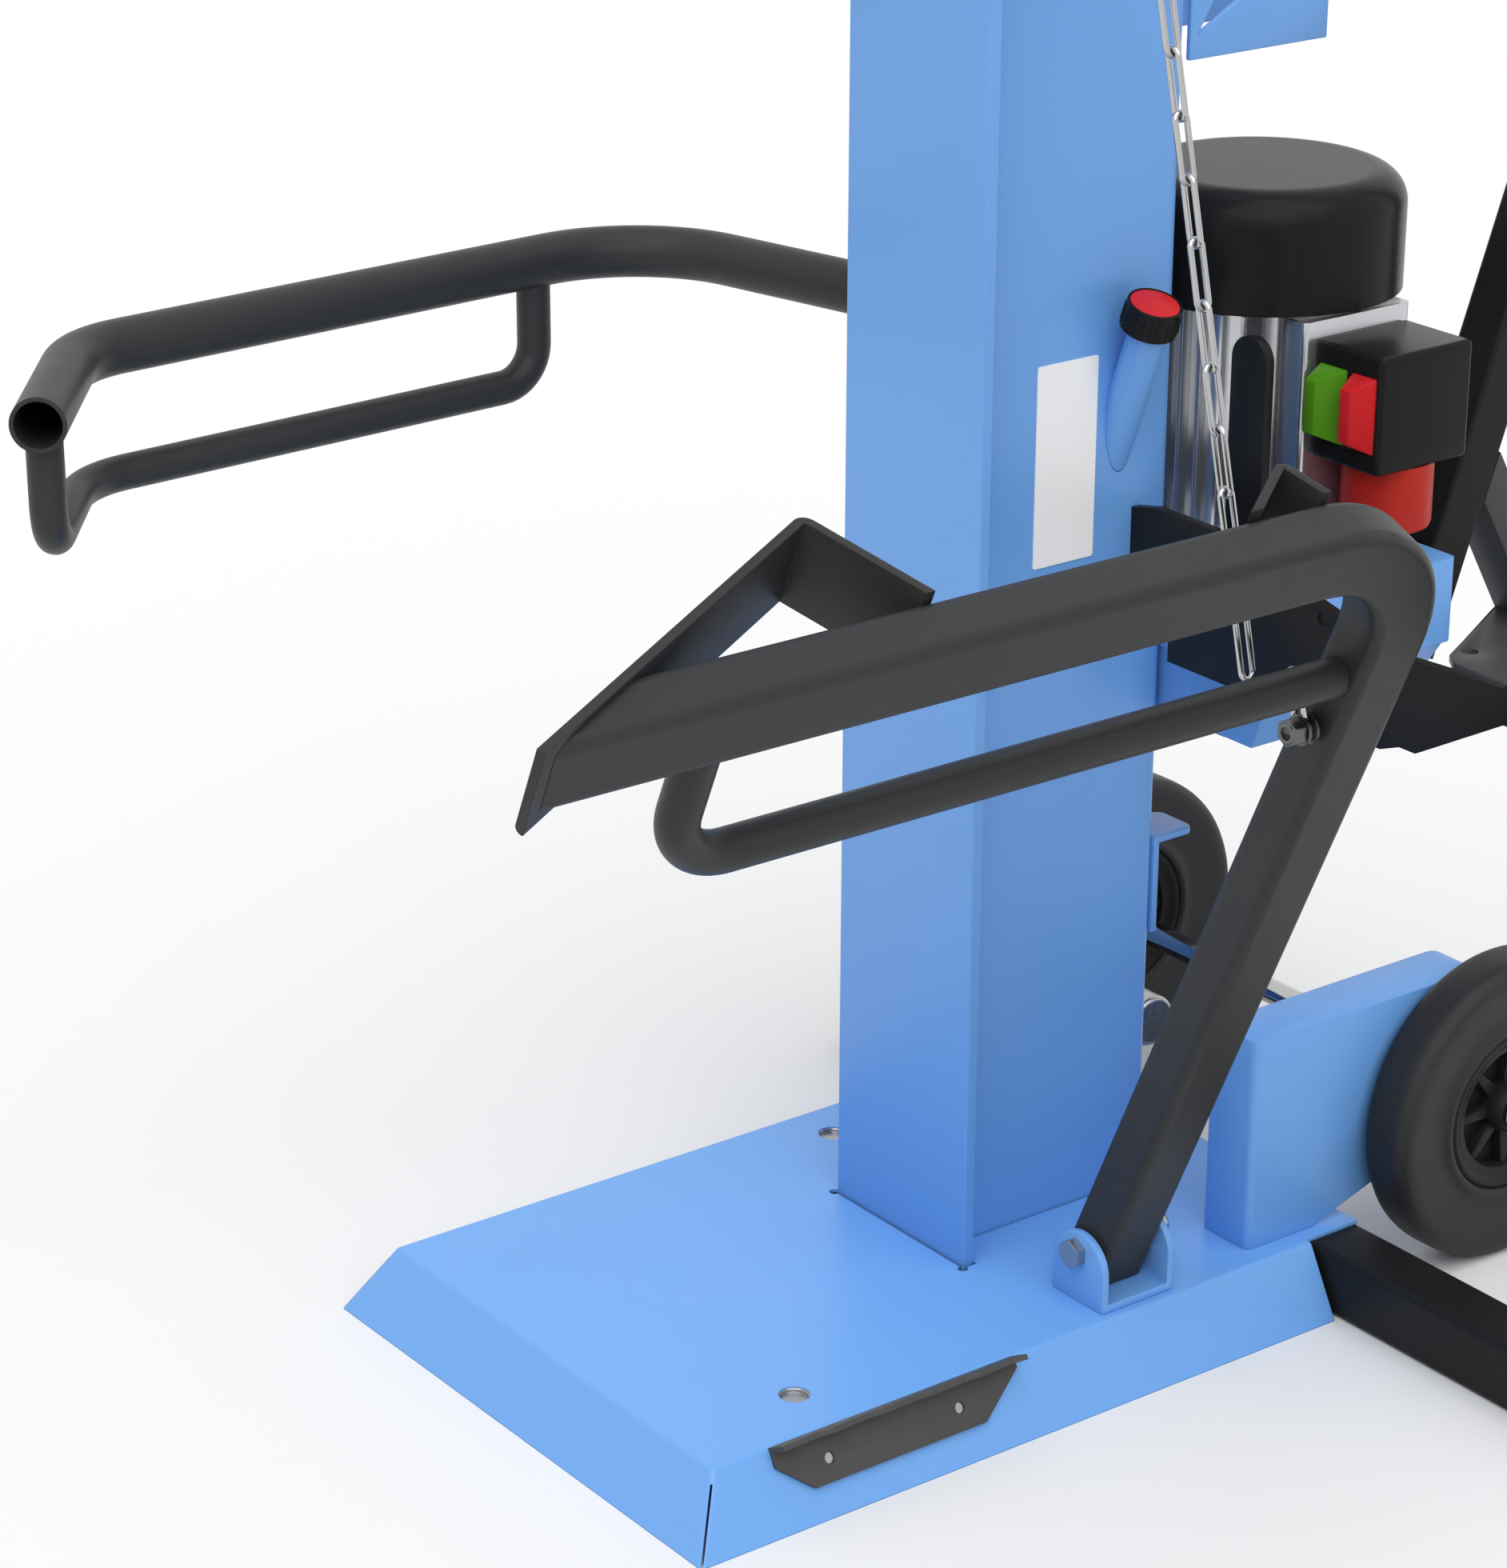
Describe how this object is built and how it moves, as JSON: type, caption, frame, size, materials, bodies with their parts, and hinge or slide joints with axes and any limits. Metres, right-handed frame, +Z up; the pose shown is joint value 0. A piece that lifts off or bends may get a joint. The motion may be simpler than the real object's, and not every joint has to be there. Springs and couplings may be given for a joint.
{
  "type": "log splitter",
  "caption": "Upright hydraulic log splitter: box column with flange track, folded base tray, wedge carriage, chain-raised log lifter arm, side control lever, rear-mounted motor and rear wheels.",
  "frame": {"origin": "on the floor, under the middle of the column", "axes": "+Z up, +X towards the log lifter's side, -Y towards the log side"},
  "size_m": [1.1261, 1.2637, 1.575],
  "materials": {
    "blue_paint": "satin",
    "black_paint": "satin",
    "black_plastic": "matte",
    "rubber": "matte",
    "steel": "satin",
    "bright_chrome": "polished",
    "cast_aluminium": "cast",
    "cast_iron": "cast",
    "green_plastic": "gloss",
    "red_plastic": "gloss",
    "bronze": "satin"
  },
  "bodies": {
    "machine": {"anchor_inserts": "steel", "arm_bracket_right": "black_paint", "axle": "bright_chrome", "base_tray": "blue_paint", "column_box": "blue_paint", "column_flange": "blue_paint", "column_top_plate": "blue_paint", "control_link_bar": "black_paint", "cylinder_tube": "steel", "fan_cowl": "black_plastic", "fasteners": "steel", "left_lever_mount": "black_paint", "lifter_clevis": "blue_paint", "lifter_pivot_bolt": "steel", "motor_body": "cast_aluminium", "motor_console": "blue_paint", "oil_filler_tube": "blue_paint", "oil_filter_canister": "steel", "power_inlet": "red_plastic", "pump_body": "cast_iron", "rear_handle_frame": "black_paint", "rear_lug": "blue_paint", "rear_support": "black_paint", "sole_plate": "blue_paint", "stabiliser_end_caps": "black_plastic", "stabiliser_tube": "black_paint", "switch_box": "black_plastic", "terminal_block": "cast_aluminium", "toothed_plate": "black_paint", "top_bracket_plates": "blue_paint", "valve_block": "cast_aluminium", "wheel_brackets": "blue_paint"},
    "carriage": {"carriage_guide": "blue_paint", "guide_pads": "bronze", "bridge_plate": "blue_paint", "wedge_blade": "steel", "chain_hook_bolt": "steel", "piston_rod": "bright_chrome"},
    "chain_run": {"chain_links": "bright_chrome"},
    "lifter": {"lifter_arm": "black_paint", "lifter_front_tooth": "black_paint", "lifter_rear_tooth": "black_paint", "lifter_brace_tube": "black_paint", "chain_bolt": "steel", "chain_end_links": "bright_chrome"},
    "left_yoke_body": {"left_yoke": "black_paint"},
    "left_lever_body": {"left_lever": "black_paint"},
    "right_lever_body": {"right_yoke": "black_paint", "right_lever": "black_paint"},
    "wheel_l": {"tyre_left": "rubber", "rim_left": "black_plastic"},
    "wheel_r": {"tyre_right": "rubber", "rim_right": "black_plastic"},
    "start_push": {"start_button": "green_plastic"},
    "stop_push": {"stop_button": "red_plastic"},
    "cap": {"filler_cap": "black_plastic"},
    "rotor": {"motor_shaft": "steel", "cooling_fan": "black_plastic"},
    "gear_driven": {"driven_gear": "steel"},
    "spool": {"valve_spool": "steel"}
  },
  "joints": [
    {"name": "carriage_slide", "type": "slide", "parent": "machine", "child": "carriage", "axis": [0, 0, -1], "range_m": [0, 0.5]},
    {"name": "lifter_pivot", "type": "hinge", "parent": "machine", "child": "lifter", "pos_m": [0.161, -0.034, 0.092], "axis": [0, 1, 0], "range_deg": [0, 57]},
    {"name": "chain_swing", "type": "hinge", "parent": "carriage", "child": "chain_run", "pos_m": [0.104, -0.07, 1.433], "axis": [0, -1, 0], "range_deg": [0, 25]},
    {"name": "left_lever_press", "type": "hinge", "parent": "machine", "child": "left_yoke_body", "pos_m": [-0.06, 0.005, 0.73], "axis": [1, 0, 0], "range_deg": [0, 12], "stiffness_Nm_per_rad": 60, "springref_deg": -25.78},
    {"name": "left_lever_swing", "type": "hinge", "parent": "left_yoke_body", "child": "left_lever_body", "pos_m": [-0.106, -0.031, 0.73], "axis": [0, 0, 1], "range_deg": [-15, 5]},
    {"name": "right_lever_fold", "type": "hinge", "parent": "machine", "child": "right_lever_body", "pos_m": [0.463, 0.092, 0.572], "axis": [1, 0, 0], "range_deg": [0, 60]},
    {"name": "left_wheel_spin", "type": "hinge", "parent": "machine", "child": "wheel_l", "pos_m": [-0.239, 0.3085, 0.121], "axis": [1, 0, 0], "continuous": true},
    {"name": "right_wheel_spin", "type": "hinge", "parent": "machine", "child": "wheel_r", "pos_m": [0.206, 0.3085, 0.121], "axis": [1, 0, 0], "continuous": true},
    {"name": "start_press", "type": "slide", "parent": "machine", "child": "start_push", "axis": [0, 1, 0], "range_m": [0, 0.004], "stiffness_N_per_m": 800, "springref_m": -0.003},
    {"name": "stop_press", "type": "slide", "parent": "machine", "child": "stop_push", "axis": [0, 1, 0], "range_m": [0, 0.004], "stiffness_N_per_m": 800, "springref_m": -0.003},
    {"name": "cap_lift", "type": "slide", "parent": "machine", "child": "cap", "axis": [0.3223, 0, 0.9466], "range_m": [0, 0.09]},
    {"name": "rotor_spin", "type": "hinge", "parent": "machine", "child": "rotor", "pos_m": [0, 0.22, 0.55], "axis": [0, 0, 1], "continuous": true},
    {"name": "pump_gear_spin", "type": "hinge", "parent": "machine", "child": "gear_driven", "pos_m": [-0.032, 0.22, 0.36], "axis": [0, 0, 1], "continuous": true},
    {"name": "spool_slide", "type": "slide", "parent": "machine", "child": "spool", "axis": [0, 0, -1], "range_m": [0, 0.006]}
  ],
  "couplings": [
    {"joint": "lifter_pivot", "follows": "carriage_slide", "rad_per_m": 1.9722},
    {"joint": "chain_swing", "follows": "carriage_slide", "rad_per_m": 0.83776},
    {"joint": "pump_gear_spin", "follows": "rotor_spin", "ratio": -1},
    {"joint": "spool_slide", "follows": "left_lever_press", "m_per_rad": 0.026}
  ]
}
